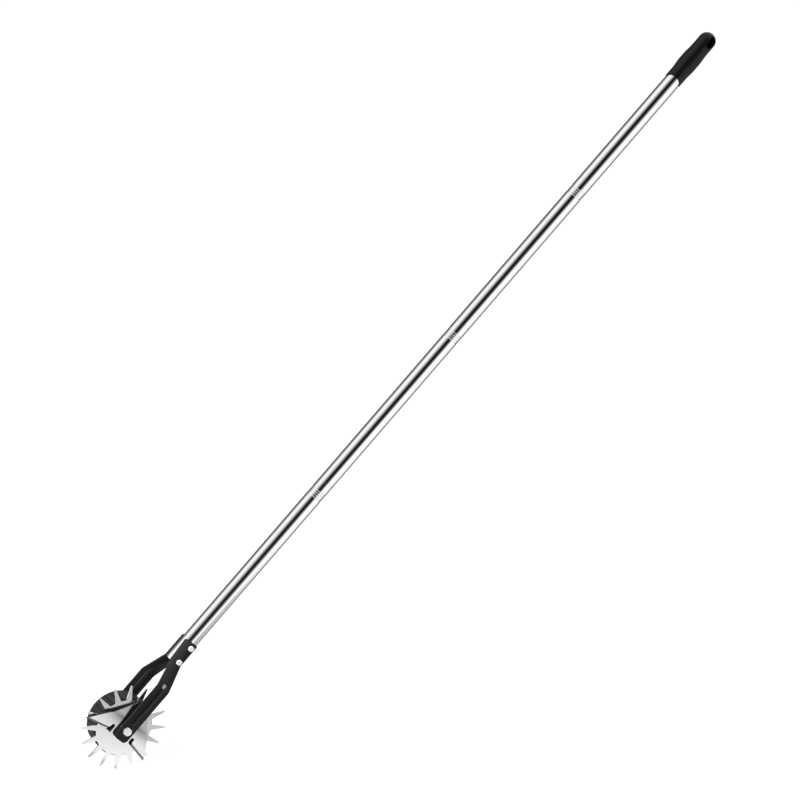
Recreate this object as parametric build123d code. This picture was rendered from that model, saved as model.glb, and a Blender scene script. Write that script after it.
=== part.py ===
from build123d import *
from math import atan2, cos, degrees, hypot, pi, radians, sin, tan
import os

# A rotary edge shear on a four-piece screw-together pole, in millimetres.
# The tool frame has the axle along Y, the pole along Z and the fork's middle plane at Y = 0.
# The blade side is -Y. At the end every piece is leaned over and set on the ground as in use,
# with the origin on the ground under the axle.

# Working pose
pole_angle = 45.0

# Star blade
star_teeth = 16
star_tip_radius = 69.0
star_root_radius = 45.5
star_thickness = 1.8
tooth_root_width = 9.5
tooth_tip_width = 2.2
notch_fillet = 2.0
star_to_arm = 10.0

# Ribbed drum and its core
drum_radius = 47.0
drum_width = 32.5
tyre_thickness = 6.0
tyre_ribs = 32
rib_groove_width = 2.0
rib_groove_depth = 1.5
rib_line_width = 0.7
rib_line_depth = 0.5
tyre_lip_width = 3.0
tyre_lip_drop = 0.5
tyre_lip_round = 1.8
core_recess = 5.0
hub_wall = 3.5
hub_proud = 2.0
boss_radius = 11.5
boss_wall = 2.2
boss_flat_depth = 0.8
lock_ring_width = 2.5
lock_ring_thickness = 2.0

# Ball bearings
bearing_bore = 20.0
bearing_diameter = 42.0
bearing_width = 12.0
blade_bearing_recess = 4.0
drum_bearing_recess = 2.5
race_wall = 3.2
race_chamfer = 0.6
ball_diameter = 6.35
ball_count = 9
ball_clearance = 0.22
shield_thickness = 0.5
shield_depth = 0.7
shield_seat = 0.6
shield_clearance = 0.3
cage_width = 8.0
cage_wall = 1.8

# Axle
axle_thread = 8.0
axle_hole_clearance = 0.25
axle_head_flats = 13.0
axle_head_height = 4.7
axle_nut_height = 8.0
bolt_end_proud = 1.5
blade_spacer_radius = 8.0
spacer_flange_radius = 12.0
spacer_flange_thickness = 2.0
spacer_flange_clearance = 0.6
drum_spacer_flats = 19.0
bearing_spacer_wall = 2.5

# Fork arms
fork_gap = 55.0
arm_thickness = 2.5
arm_width = 25.5
arm_foot = 18.0
arm_foot_round = 9.0
lower_bend_height = 83.8
bend_radius = 6.0
upper_bend_height = 125.0
saddle_length = 39.3
saddle_half_angle = 47.0
saddle_corner_round = 4.0
arm_rib_bottom = 12.8
arm_rib_overrun = 9.5
arm_rib_overlap = 6.5
arm_rib_width = 8.0
arm_rib_floor_width = 5.0
arm_rib_depth = 1.6

# Clamp bolts through the saddles and the pole
clamp_thread = 5.0
clamp_hole_clearance = 0.2
clamp_head_flats = 8.0
clamp_head_height = 3.5
clamp_nut_height = 5.0
clamp_edge_distance = 8.0
clamp_spacing = 27.5

# Shear plate and the washer that holds it off the arm
plate_washer_thickness = 3.0
plate_washer_radius = 9.0
plate_thickness = 2.5
plate_crease_height = 12.5
plate_side_apex = 59.5
plate_top_height = 50.0
plate_top_slope = 6.2
plate_corner_round = 3.0
wing_overhang = 1.5
wing_droop_angle = 18.7
wing_bend_drop = 5.0
wing_inner_edge = 29.0
wing_inner_height = -15.4
wing_corner_height = -8.8
hub_tab_half_width = 19.0
hub_tab_bottom = -18.0
slot_width = 6.0
slot_top = -3.5
shear_clearance = 0.3
bevel_width = 3.6
bevel_land = 0.6
crease_round = 24.0

# Pole
tube_diameter = 25.4
tube_wall = 1.2
tube_tail = 1.5
lowest_tube_length = 355.2
second_tube_length = 313.5
third_tube_length = 284.0
top_tube_length = 266.8
tube_end_chamfer = 0.35
crimp_count = 4
crimp_pitch = 3.7
crimp_half_width = 0.9
crimp_depth = 0.6
crimp_to_seam = 17.2
insert_clearance = 0.1
socket_length = 35.0
stud_plug_length = 26.0
stud_thread = 14.0
stud_length = 24.0
thread_clearance = 0.2

# Hand grip
grip_length = 92.7
grip_cover = 69.0
grip_rim_radius = 13.6
grip_belly_radius = 14.9
grip_neck_radius = 13.6
grip_shoulder_height = 14.0
grip_belly_start = 33.0
grip_belly_end = 42.0
grip_neck_height = 64.0
grip_fit_clearance = 0.1
rim_arch_depth = 7.2
rim_ear_width = 1.4
rim_arch_turn = 36.9
hang_slot_width = 11.0
hang_slot_length = 19.2
hang_slot_to_end = 12.1

# Sliding and pressed fits inside one assembly
fit_clearance = 0.05

# Places along the axle, blade side first
arm_inner = fork_gap / 2
arm_outer = arm_inner + arm_thickness
plate_front = -arm_inner + plate_washer_thickness
plate_back = plate_front + plate_thickness
star_front = -arm_inner + star_to_arm
star_back = star_front + star_thickness
drum_end = star_back + drum_width
blade_bearing = star_back + blade_bearing_recess
drum_bearing = drum_end - drum_bearing_recess - bearing_width
bearing_end = drum_bearing + bearing_width

# Radii about the axle
core_radius = drum_radius - tyre_thickness
bearing_radius = bearing_diameter / 2
inner_land = bearing_bore / 2 + race_wall
outer_land = bearing_radius - race_wall
ball_pitch_radius = (inner_land + outer_land) / 2
axle_hole_radius = axle_thread / 2 + axle_hole_clearance

# Places along the pole
tube_radius = tube_diameter / 2
tube_bore = tube_radius - tube_wall
tube_start = upper_bend_height - tube_tail
tube_lengths = [lowest_tube_length, second_tube_length, third_tube_length, top_tube_length]
seams = [tube_start + sum(tube_lengths[:n + 1]) for n in range(len(tube_lengths))]
saddle_top = upper_bend_height + saddle_length
saddle_radius = tube_radius + arm_thickness
clamp_heights = [saddle_top - clamp_edge_distance - clamp_spacing, saddle_top - clamp_edge_distance]
grip_bottom = seams[-1] - grip_cover
grip_top = grip_bottom + grip_length
hang_slot_height = grip_top - hang_slot_to_end


def about_axle(points):
    """Solid of revolution about the axle from (radius, place along the axle) corners."""
    outline = make_face(Polyline(*[(r, y) for r, y in points], close=True))
    return revolve(outline, Axis.Y)


def ring(inner, outer, start, end):
    """Plain ring about the axle between two places along it."""
    return about_axle([(inner, start), (outer, start), (outer, end), (inner, end)])


def facing_blade_side(y):
    """Sketch plane across the axle that looks at the blade side: X across, Y up the pole."""
    return Plane(origin=(0, y, 0), x_dir=(1, 0, 0), z_dir=(0, -1, 0))


def along_axle(radius, start, end, height=0.0):
    """Round bar along the axle direction at a height up the pole."""
    plane = Plane(origin=(0, start, height), x_dir=(1, 0, 0), z_dir=(0, 1, 0))
    return extrude(plane * Circle(radius), end - start)


def tooth_directions():
    """Angles of the star's teeth from the pole: the pole lies midway between two teeth."""
    pitch = 360 / star_teeth
    return [pitch * (n + 0.5) for n in range(star_teeth)]


def axle_height():
    """Height of the axle when the leaning tool stands on its lowest tooth corners."""
    lean = 90 - pole_angle
    half = tooth_tip_width / 2
    reach = hypot(star_tip_radius, half)
    spread = degrees(atan2(half, star_tip_radius))
    corners = [turn + lean + side * spread for turn in tooth_directions() for side in (-1, 1)]
    return -min(reach * cos(radians(corner)) for corner in corners)


def star_blade():
    """Flat star with tapered blunt teeth and a hole with two flats that keys it to the core."""
    root_reach = star_root_radius * 0.9
    slope = (tooth_root_width - tooth_tip_width) / 2 / (star_tip_radius - star_root_radius)
    half_base = tooth_root_width / 2 + slope * (star_root_radius - root_reach)
    half_tip = tooth_tip_width / 2
    tooth = make_face(Polyline((-half_base, root_reach), (-half_tip, star_tip_radius),
                               (half_tip, star_tip_radius), (half_base, root_reach), close=True))
    outline = Circle(star_root_radius)
    for turn in tooth_directions():
        outline += Rot(0, 0, turn) * tooth
    notch_corners = [v for v in outline.vertices() if abs(hypot(v.X, v.Y) - star_root_radius) < 0.01]
    outline = fillet(notch_corners, notch_fillet)
    flats = 2 * (boss_radius - boss_flat_depth + fit_clearance)
    outline -= Circle(boss_radius + fit_clearance) & Rectangle(flats, 4 * boss_radius)
    return extrude(facing_blade_side(star_back) * outline, star_thickness)


def star_lock_ring():
    """Ring pressed on the core's boss that holds the star against the core."""
    bore = boss_radius + fit_clearance
    blank = ring(bore, boss_radius + lock_ring_width, star_front - lock_ring_thickness, star_front)
    return chamfer(blank.edges().filter_by(GeomType.CIRCLE).group_by(Axis.Y)[0].sort_by(SortBy.RADIUS)[-1], 0.5)


def wheel_core():
    """Moulded core: boss through the star, straight bearing bore and a dished drum-side face."""
    boss_bore = boss_radius - boss_wall
    boss_end = star_front - lock_ring_thickness
    seat = bearing_radius + fit_clearance
    hub = seat + hub_wall
    face = drum_end - core_recess
    flange_bore = spacer_flange_radius + spacer_flange_clearance
    flange_floor = blade_bearing - spacer_flange_thickness - spacer_flange_clearance
    core = about_axle([(boss_bore, boss_end), (boss_radius, boss_end), (boss_radius, star_back),
                       (core_radius, star_back), (core_radius, face), (hub, face),
                       (hub, face + hub_proud), (seat, face + hub_proud), (seat, blade_bearing),
                       (flange_bore, blade_bearing), (flange_bore, flange_floor),
                       (boss_bore, flange_floor)])
    flat = boss_radius - boss_flat_depth
    block = Box(boss_flat_depth, star_back - boss_end, 4 * boss_radius,
                align=(Align.MIN, Align.MIN, Align.CENTER))
    for turn in (0, 180):
        core -= Rot(0, turn, 0) * Pos(flat, boss_end, 0) * block
    return core


def drum_tyre():
    """Rubber sleeve: broad ribs parted by grooves, a fine line along each rib and a plain end lip."""
    bore = core_radius + fit_clearance
    groove = Rectangle(2 * rib_groove_depth, rib_groove_width)
    line = Rectangle(2 * rib_line_depth, rib_line_width)
    half_pitch = 180 / tyre_ribs
    section = Circle(drum_radius)
    section -= PolarLocations(drum_radius, tyre_ribs) * groove
    section -= PolarLocations(drum_radius, tyre_ribs, start_angle=half_pitch) * line
    section -= Circle(bore)
    ribs_end = drum_end - tyre_lip_width
    ribbed = extrude(facing_blade_side(ribs_end) * section, ribs_end - star_back)
    lip = ring(bore, drum_radius - tyre_lip_drop, ribs_end, drum_end)
    outer_rims = lip.edges().filter_by(GeomType.CIRCLE).group_by(Axis.Y)[-1]
    return ribbed + fillet(outer_rims, tyre_lip_round)


def ball_places(start):
    """Ball centres of the bearing whose blade-side face is at start."""
    middle = start + bearing_width / 2
    step = 360 / ball_count
    return [Rot(0, step * n, 0) * Pos(ball_pitch_radius, middle, 0) for n in range(ball_count)]


def ball_track(start):
    """Toroidal track in which the balls of one bearing roll, with their clearance."""
    centre = start + bearing_width / 2
    groove = Pos(ball_pitch_radius, centre) * Circle(ball_diameter / 2 + ball_clearance)
    return revolve(groove, Axis.Y)


def inner_race(start):
    """Inner bearing ring with its ball track."""
    blank = ring(bearing_bore / 2, inner_land, start, start + bearing_width)
    blank = chamfer(blank.edges().filter_by(GeomType.CIRCLE), race_chamfer)
    return blank - ball_track(start)


def outer_race(start):
    """Outer bearing ring with its ball track and a seat for a shield at each side."""
    end = start + bearing_width
    blank = ring(outer_land, bearing_radius, start, end)
    rims = blank.edges().filter_by(GeomType.CIRCLE).group_by(SortBy.RADIUS)[-1]
    blank = chamfer(rims, race_chamfer)
    seat = outer_land + shield_seat
    depth = shield_depth + shield_thickness
    return blank - ball_track(start) - ring(0, seat, start, start + depth) - ring(0, seat, end - depth, end)


def shields(start):
    """Two thin dust shields seated in the outer ring, clear of the inner one."""
    hole = inner_land + shield_clearance
    rim = outer_land + shield_seat - fit_clearance
    near = start + shield_depth
    far = start + bearing_width - shield_depth - shield_thickness
    return Compound([ring(hole, rim, y, y + shield_thickness) for y in (near, far)])


def balls(start):
    """Ball set of one bearing."""
    return Compound([place * Sphere(ball_diameter / 2) for place in ball_places(start)])


def cage(start):
    """Ring that keeps the balls apart, with a round pocket for each."""
    centre = start + bearing_width / 2
    half = cage_width / 2
    blank = ring(ball_pitch_radius - cage_wall / 2, ball_pitch_radius + cage_wall / 2, centre - half, centre + half)
    pocket = Rot(0, 90, 0) * Cylinder(ball_diameter / 2 + ball_clearance, 4 * cage_wall)
    for place in ball_places(start):
        blank -= place * pocket
    return blank


def hexagon(flats):
    """Hexagon across flats, one pair of flats along the pole."""
    return RegularPolygon(flats / 2, 6, major_radius=False)


def hex_bolt(thread, flats, head_height, length):
    """Hex bolt along +Y with its head's seat at the origin and a chamfered head and end."""
    corner = flats / 2 / cos(pi / 6)
    dome = Cylinder(corner, head_height, align=(Align.CENTER, Align.CENTER, Align.MIN))
    dome = chamfer(dome.edges().sort_by(Axis.Z)[-1], corner - flats / 2)
    head = extrude(hexagon(flats), head_height) & dome
    shank = Cylinder(thread / 2, length, align=(Align.CENTER, Align.CENTER, Align.MAX))
    shank = chamfer(shank.edges().sort_by(Axis.Z)[0], thread / 10)
    return Rot(90, 0, 0) * (head + shank)


def lock_nut(thread, flats, height):
    """Lock nut along +Y from its seat at the origin: a hexagon with a round collar on top."""
    collar_height = height / 3
    corner = flats / 2 / cos(pi / 6)
    hex_height = height - collar_height
    dome = Cylinder(corner, hex_height, align=(Align.CENTER, Align.CENTER, Align.MIN))
    dome = chamfer(dome.edges().sort_by(Axis.Z)[-1], (corner - flats / 2) / 2)
    nut = extrude(hexagon(flats), hex_height) & dome
    collar = Pos(0, 0, hex_height) * Cylinder(flats * 0.44, collar_height,
                                              align=(Align.CENTER, Align.CENTER, Align.MIN))
    collar = fillet(collar.edges().sort_by(Axis.Z)[-1], collar_height / 2)
    hole = Cylinder(thread / 2 + fit_clearance, 3 * height)
    return Rot(-90, 0, 0) * (nut + collar - hole)


def axle_bolt():
    """Bolt from the blade-side arm through everything to the nut outside the drum-side arm."""
    length = 2 * arm_outer + axle_nut_height + bolt_end_proud
    return Pos(0, -arm_outer, 0) * hex_bolt(axle_thread, axle_head_flats, axle_head_height, length)


def axle_nut():
    """Lock nut on the drum-side arm."""
    return Pos(0, arm_outer, 0) * lock_nut(axle_thread, axle_head_flats, axle_nut_height)


def clamp_bolts():
    """Two bolts through both saddles and the pole, heads on the blade side."""
    length = 2 * saddle_radius + clamp_nut_height + bolt_end_proud
    bolt = hex_bolt(clamp_thread, clamp_head_flats, clamp_head_height, length)
    return Compound([Pos(0, -saddle_radius, z) * bolt for z in clamp_heights])


def clamp_nuts():
    """Lock nuts of the clamp bolts."""
    nut = lock_nut(clamp_thread, clamp_head_flats, clamp_nut_height)
    return Compound([Pos(0, saddle_radius, z) * nut for z in clamp_heights])


def plate_washer():
    """Thick washer on the bolt between the blade-side arm and the shear plate."""
    blank = ring(axle_hole_radius, plate_washer_radius, -arm_inner, plate_front)
    rims = blank.edges().filter_by(GeomType.CIRCLE).group_by(SortBy.RADIUS)[-1]
    return chamfer(rims, plate_washer_thickness / 8)


def blade_side_spacer():
    """Flanged collar that clamps the shear plate and bears on the blade-side inner race."""
    step = blade_bearing - spacer_flange_thickness
    return about_axle([(axle_hole_radius, plate_back), (blade_spacer_radius, plate_back),
                       (blade_spacer_radius, step), (spacer_flange_radius, step),
                       (spacer_flange_radius, blade_bearing), (axle_hole_radius, blade_bearing)])


def axle_sleeve():
    """Sleeve on the bolt under both inner races."""
    return ring(axle_hole_radius, bearing_bore / 2 - fit_clearance, blade_bearing, bearing_end)


def bearing_spacer():
    """Ring on the sleeve that keeps the inner races apart."""
    radius = bearing_bore / 2
    return ring(radius, radius + bearing_spacer_wall, blade_bearing + bearing_width, drum_bearing)


def drum_side_spacer():
    """Hexagonal spacer between the drum-side inner race and the arm."""
    length = arm_inner - bearing_end
    corner = drum_spacer_flats / 2 / cos(pi / 6)
    dome = Cylinder(corner, length)
    dome = chamfer(dome.edges().filter_by(GeomType.CIRCLE), (corner - drum_spacer_flats / 2) / 2)
    blank = extrude(hexagon(drum_spacer_flats), length / 2, both=True) & dome
    blank -= Cylinder(axle_hole_radius, 2 * length)
    return Pos(0, bearing_end + length / 2, 0) * Rot(90, 0, 0) * blank


def saddle_section():
    """Cross-section of the saddle: a band round the pole, open to the other arm's saddle."""
    turn = radians(saddle_half_angle)
    across, along = sin(turn), cos(turn)
    outer, inner = saddle_radius, tube_radius + fit_clearance
    edges = [
        ThreePointArc((-outer * across, -outer * along), (0, -outer), (outer * across, -outer * along)),
        Line((outer * across, -outer * along), (inner * across, -inner * along)),
        ThreePointArc((inner * across, -inner * along), (0, -inner), (-inner * across, -inner * along)),
        Line((-inner * across, -inner * along), (-outer * across, -outer * along)),
    ]
    return make_face(edges)


def arm_rib(bottom, top, face):
    """Straight run of the pressed rib: the space it takes below an outer face, from bottom to top."""
    middle = (top + bottom) / 2
    length = top - bottom
    run = arm_rib_width - arm_rib_floor_width
    mouth = facing_blade_side(face) * Pos(0, middle) * SlotOverall(length, arm_rib_width, rotation=90)
    floor_plane = facing_blade_side(face + arm_rib_depth)
    floor = floor_plane * Pos(0, middle) * SlotOverall(length - run, arm_rib_floor_width, rotation=90)
    return loft([mouth, floor], ruled=True)


def bent_rib(face):
    """Whole rib below an outer face of the leg: up the leg, over the bend and onto the spread."""
    lean = degrees(atan2(arm_outer - saddle_radius, upper_bend_height - lower_bend_height))
    leg_run = arm_rib(arm_rib_bottom, lower_bend_height + arm_rib_overlap, face)
    spread_run = arm_rib(-arm_rib_overlap, arm_rib_overrun, 0)
    return leg_run + Pos(0, face, lower_bend_height) * Rot(-lean, 0, 0) * spread_run


def fork_arm():
    """Blade-side arm: flat leg with a pressed rib, a spread that curls up into the saddle."""
    half = arm_width / 2
    leg_height = lower_bend_height + arm_foot
    leg_outline = Pos(0, lower_bend_height - leg_height / 2) * Rectangle(arm_width, leg_height)
    foot = leg_outline.vertices().group_by(Axis.Y)[0]
    leg = extrude(facing_blade_side(-arm_inner) * fillet(foot, arm_foot_round), arm_thickness)
    leg_end = make_face(Polyline((-half, -arm_outer), (half, -arm_outer), (half, -arm_inner),
                                 (-half, -arm_inner), close=True))
    saddle_end = Pos(0, 0, upper_bend_height) * saddle_section()
    spread = loft([Pos(0, 0, lower_bend_height) * leg_end, saddle_end], ruled=True)
    saddle = extrude(saddle_end, saddle_length)
    corners = saddle.edges().filter_by(GeomType.LINE).group_by(Axis.Z)[-1]
    saddle = fillet(corners, saddle_corner_round)
    arm = leg + spread + saddle
    bends = arm.edges().filter_by(Axis.X).filter_by_position(Axis.Z, lower_bend_height - 0.01,
                                                             lower_bend_height + 0.01)
    inner_bend = bends.sort_by(Axis.Y)[-1]
    arm = fillet(inner_bend, bend_radius)
    bends = arm.edges().filter_by(Axis.X).filter_by_position(Axis.Z, lower_bend_height - 0.01,
                                                             lower_bend_height + 0.01)
    arm = fillet(bends.sort_by(Axis.Y)[0], bend_radius + arm_thickness)
    arm = arm - bent_rib(-arm_outer) + bent_rib(-arm_inner)
    arm -= along_axle(axle_hole_radius, -2 * arm_outer, 0)
    for height in clamp_heights:
        arm -= along_axle(clamp_thread / 2 + clamp_hole_clearance, -2 * saddle_radius, 0, height)
    return arm


def shear_plate():
    """Folded cutting plate: flat hub, bent wings with bevelled edges and a top bent to the star."""
    tip_reach = star_tip_radius + wing_overhang
    tip = (tip_reach * cos(radians(wing_droop_angle)), -tip_reach * sin(radians(wing_droop_angle)))
    side_slope = tip[0] / (plate_side_apex - tip[1])
    slot_centre = hub_tab_half_width + slot_width / 2
    tear_top = slot_top - slot_width / 2

    def side(height):
        return side_slope * (plate_side_apex - height)

    crease = (side(plate_crease_height), plate_crease_height)
    bend = (side(plate_crease_height - wing_bend_drop), plate_crease_height - wing_bend_drop)
    tear = (slot_centre, tear_top)
    top = (side(plate_top_height), plate_top_height)
    top_drop = (plate_top_height - plate_crease_height) * tan(radians(plate_top_slope))

    # The wing falls from the bend line through bend and tear to the tip, which all but meets the star.
    run = (tear[0] - bend[0], tear[1] - bend[1])
    run_length = hypot(*run)

    def off_bend(point):
        return ((point[0] - bend[0]) * run[1] - (point[1] - bend[1]) * run[0]) / run_length

    tip_drop = star_front - shear_clearance - plate_back

    def wing_point(point):
        return (point[0], point[1], -tip_drop * off_bend(point) / off_bend(tip))

    def facet(points):
        face = make_face(Polyline(*points, close=True))
        return extrude(face, plate_thickness, dir=(0, 0, -1))

    hub = facet([(-crease[0], crease[1]), (crease[0], crease[1]), bend, tear,
                 (slot_centre, hub_tab_bottom), (-slot_centre, hub_tab_bottom),
                 (-tear[0], tear[1]), (-bend[0], bend[1])])
    upper = facet([(-crease[0], crease[1], 0), (crease[0], crease[1], 0),
                   (top[0], top[1], -top_drop), (-top[0], top[1], -top_drop)])
    inner = (wing_inner_edge, wing_inner_height)
    corner = (hub_tab_half_width + slot_width, wing_corner_height)
    wing_outline = [bend, tip, inner, corner, (slot_centre, wing_corner_height), tear]
    wing = facet([wing_point(p) for p in wing_outline])
    wing = bevel(wing, wing_point(tip), wing_point(inner))
    plate = hub + upper + wing + mirror(wing, about=Plane.YZ)
    slot_length = slot_top - 2 * hub_tab_bottom
    slot = Pos(0, slot_top - slot_length / 2) * SlotOverall(slot_length, slot_width, rotation=90)
    for across in (-slot_centre, slot_centre):
        plate -= Pos(across, 0) * extrude(slot, 4 * star_to_arm, both=True)
    plate -= Cylinder(axle_hole_radius, 4 * star_to_arm)
    top_corners = plate.edges().filter_by(Axis.Z).group_by(Axis.Y)[-1]
    plate = fillet(top_corners, plate_corner_round)
    crease_edges = [e for e in plate.edges().filter_by(Axis.X) if abs(e.center().Y - plate_crease_height) < 0.01]
    plate = fillet(crease_edges, crease_round)
    return facing_blade_side(plate_front) * plate


def bevel(wing, tip, inner):
    """Ground bevel along the wing's cutting edge, leaving a narrow land."""
    middle = Vector((tip[0] + inner[0]) / 2, (tip[1] + inner[1]) / 2, (tip[2] + inner[2]) / 2)
    edge = min(wing.edges(), key=lambda e: (e.center() - middle).length)
    front = max(wing.faces(), key=lambda f: f.normal_at().Z)
    return chamfer(edge, bevel_width, plate_thickness - bevel_land, reference=front)


def crimps(seam):
    """Heights of the rolled grooves below a seam, lowest first."""
    lowest = seam - crimp_to_seam - (crimp_count - 1) * crimp_pitch
    return [lowest + crimp_pitch * n for n in range(crimp_count)]


def crimped_edge(radius, heights):
    """Upward outline at a radius with a rounded dip at each height."""
    points = []
    for height in heights:
        points.append([(radius, height - crimp_half_width), (radius - crimp_depth, height),
                       (radius, height + crimp_half_width)])
    return points


def crimped_outline(outer, inner, bottom, top, outer_dips, inner_dips):
    """Closed half-section between two radii, with rounded dips on the outer and inner sides."""
    edges = []

    def rise(radius, start, end, dips):
        here = (radius, start)
        for first, middle, last in crimped_edge(radius, dips):
            edges.append(Line(here, first))
            edges.append(ThreePointArc(first, middle, last))
            here = last
        edges.append(Line(here, (radius, end)))

    rise(outer, bottom, top, outer_dips)
    edges.append(Line((outer, top), (inner, top)))
    rise(inner, bottom, top, inner_dips)
    edges.append(Line((inner, bottom), (outer, bottom)))
    return make_face(edges)


def about_pole(face):
    """Solid of revolution about the pole from a half-section drawn with Y up the pole."""
    return revolve(Plane.XZ * face, Axis.Z)


def pole_tube(number):
    """One pole section: rolled grooves near its upper end hold the threaded socket."""
    bottom = seams[number] - tube_lengths[number]
    top = seams[number]
    dips = crimps(top) if number < len(tube_lengths) - 1 else []
    tube = about_pole(crimped_outline(tube_radius, tube_bore, bottom, top, dips, dips))
    rims = tube.edges().filter_by(GeomType.CIRCLE)
    ends = [e for e in rims if abs(e.radius - tube_radius) < 0.001
            and (abs(e.center().Z - top) < 0.001 or abs(e.center().Z - bottom) < 0.001)]
    tube = chamfer(ends, tube_end_chamfer)
    if number == 0:
        for height in clamp_heights:
            tube -= along_axle(clamp_thread / 2 + clamp_hole_clearance, -tube_diameter, tube_diameter, height)
    return tube


def threaded_socket(number):
    """Socket held in the upper end of a pole section by its rolled grooves."""
    seam = seams[number]
    radius = tube_bore - insert_clearance
    bore = stud_thread / 2 + thread_clearance
    return about_pole(crimped_outline(radius, bore, seam - socket_length, seam, crimps(seam), []))


def threaded_stud(number):
    """Plug pressed in the lower end of a pole section, with a stud for the socket below it."""
    seam = seams[number]
    plug = Pos(0, 0, seam) * Cylinder(tube_bore - insert_clearance, stud_plug_length,
                                      align=(Align.CENTER, Align.CENTER, Align.MIN))
    stud = Pos(0, 0, seam) * Cylinder(stud_thread / 2, stud_length, align=(Align.CENTER, Align.CENTER, Align.MAX))
    return plug + chamfer(stud.edges().sort_by(Axis.Z)[0], 1.0)


def hand_grip():
    """Moulded cap: slight belly, domed end with a hanging slot, arched lower rim."""
    dome = grip_length - grip_neck_radius
    swell = Spline((grip_rim_radius, grip_shoulder_height), (grip_belly_radius, grip_belly_start),
                   tangents=[(0, 1), (0, 1)])
    taper = Spline((grip_belly_radius, grip_belly_end), (grip_neck_radius, grip_neck_height),
                   tangents=[(0, 1), (0, 1)])
    mid_dome = grip_neck_radius * sin(pi / 4)
    outline = make_face([
        Line((0, 0), (grip_rim_radius, 0)),
        Line((grip_rim_radius, 0), (grip_rim_radius, grip_shoulder_height)),
        swell,
        Line((grip_belly_radius, grip_belly_start), (grip_belly_radius, grip_belly_end)),
        taper,
        Line((grip_neck_radius, grip_neck_height), (grip_neck_radius, dome)),
        ThreePointArc((grip_neck_radius, dome), (mid_dome, dome + mid_dome), (0, grip_length)),
        Line((0, grip_length), (0, 0)),
    ])
    grip = Pos(0, 0, grip_bottom) * about_pole(outline)
    grip -= Pos(0, 0, grip_bottom) * Cylinder(tube_radius + grip_fit_clearance, grip_cover,
                                              align=(Align.CENTER, Align.CENTER, Align.MIN))
    slot = SlotOverall(hang_slot_length, hang_slot_width, rotation=90)
    slot_plane = facing_blade_side(0) * Pos(0, hang_slot_height)
    grip -= extrude(slot_plane * slot, 2 * grip_belly_radius, both=True)
    arch = Ellipse(grip_rim_radius - rim_ear_width, rim_arch_depth)
    cutter = extrude(facing_blade_side(0) * Pos(0, grip_bottom) * arch, 2 * grip_belly_radius, both=True)
    return grip - Rot(0, 0, -rim_arch_turn) * cutter


def pieces():
    """Every node of the tool in the tool frame."""
    arm = fork_arm()
    nodes = {
        "blade_side_fork_arm": arm,
        "drum_side_fork_arm": mirror(arm, about=Plane.XZ),
        "clamp_bolts": clamp_bolts(),
        "clamp_nuts": clamp_nuts(),
        "axle_bolt": axle_bolt(),
        "axle_nut": axle_nut(),
        "plate_washer": plate_washer(),
        "shear_plate": shear_plate(),
        "blade_side_spacer": blade_side_spacer(),
        "axle_sleeve": axle_sleeve(),
        "bearing_spacer": bearing_spacer(),
        "drum_side_spacer": drum_side_spacer(),
        "star_blade": star_blade(),
        "star_lock_ring": star_lock_ring(),
        "wheel_core": wheel_core(),
        "drum_tyre": drum_tyre(),
        "hand_grip": hand_grip(),
    }
    for side, start in (("blade_side", blade_bearing), ("drum_side", drum_bearing)):
        nodes[side + "_inner_race"] = inner_race(start)
        nodes[side + "_outer_race"] = outer_race(start)
        nodes[side + "_shields"] = shields(start)
        nodes[side + "_balls"] = balls(start)
        nodes[side + "_cage"] = cage(start)
    for number in range(len(tube_lengths)):
        nodes["pole_tube_%d" % (number + 1)] = pole_tube(number)
    for number in range(len(tube_lengths) - 1):
        nodes["threaded_socket_%d" % (number + 1)] = threaded_socket(number)
        nodes["threaded_stud_%d" % (number + 1)] = threaded_stud(number)
    return nodes


os.makedirs("parts", exist_ok=True)
working_pose = Pos(0, 0, axle_height()) * Rot(0, 90 - pole_angle, 0)
for name, piece in pieces().items():
    export_step(working_pose * piece, "parts/%s.step" % name)
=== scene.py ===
"""Finishes, finely worked stand-ins, light and camera for a rotary edge shear on a jointed chrome pole."""

import logging
import math
from dataclasses import dataclass, field
from enum import Enum
from typing import Iterable, Sequence

import bmesh
import bpy
from mathutils import Matrix, Vector


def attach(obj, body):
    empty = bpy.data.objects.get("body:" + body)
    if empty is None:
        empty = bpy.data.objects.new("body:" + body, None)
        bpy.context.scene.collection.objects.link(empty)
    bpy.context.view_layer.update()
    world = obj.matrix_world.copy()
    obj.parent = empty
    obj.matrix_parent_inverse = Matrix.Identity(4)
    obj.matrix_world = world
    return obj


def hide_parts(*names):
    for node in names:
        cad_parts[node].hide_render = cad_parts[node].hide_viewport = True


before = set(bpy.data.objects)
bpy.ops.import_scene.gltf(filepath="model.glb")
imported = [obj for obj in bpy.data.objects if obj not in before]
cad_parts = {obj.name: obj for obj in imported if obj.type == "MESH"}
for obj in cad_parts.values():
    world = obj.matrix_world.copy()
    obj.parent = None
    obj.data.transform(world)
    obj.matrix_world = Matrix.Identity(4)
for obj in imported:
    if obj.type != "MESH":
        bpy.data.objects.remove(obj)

LOG = logging.getLogger("edge_shear")
Colour = tuple[float, float, float]
Direction = tuple[float, float, float]
Span = tuple[float, float]
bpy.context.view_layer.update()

# How the tool stands, in metres and degrees, and spans that many mappings use
AXLE_HEIGHT = 0.067889
POLE_LEAN = 45.0
UNIT: Span = (0.0, 1.0)
UNIT_DOWN: Span = (1.0, 0.0)
HALF_TURN = 180.0


class Body(Enum):
    """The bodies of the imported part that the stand-ins ride on."""

    FRAME = "frame"
    WHEEL = "wheel"


class Slot(Enum):
    """The record's material slots."""

    CHROME = "bright_chrome"
    BLADE = "polished_steel"
    ZINC = "zinc_steel"
    BEARING = "bearing_steel"
    TURNED = "turned_steel"
    ENAMEL = "black_enamel"
    RUBBER = "ribbed_rubber"
    NYLON = "cream_nylon"
    PLASTIC = "black_plastic"


# Node trees and the effects that several finishes share


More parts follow.
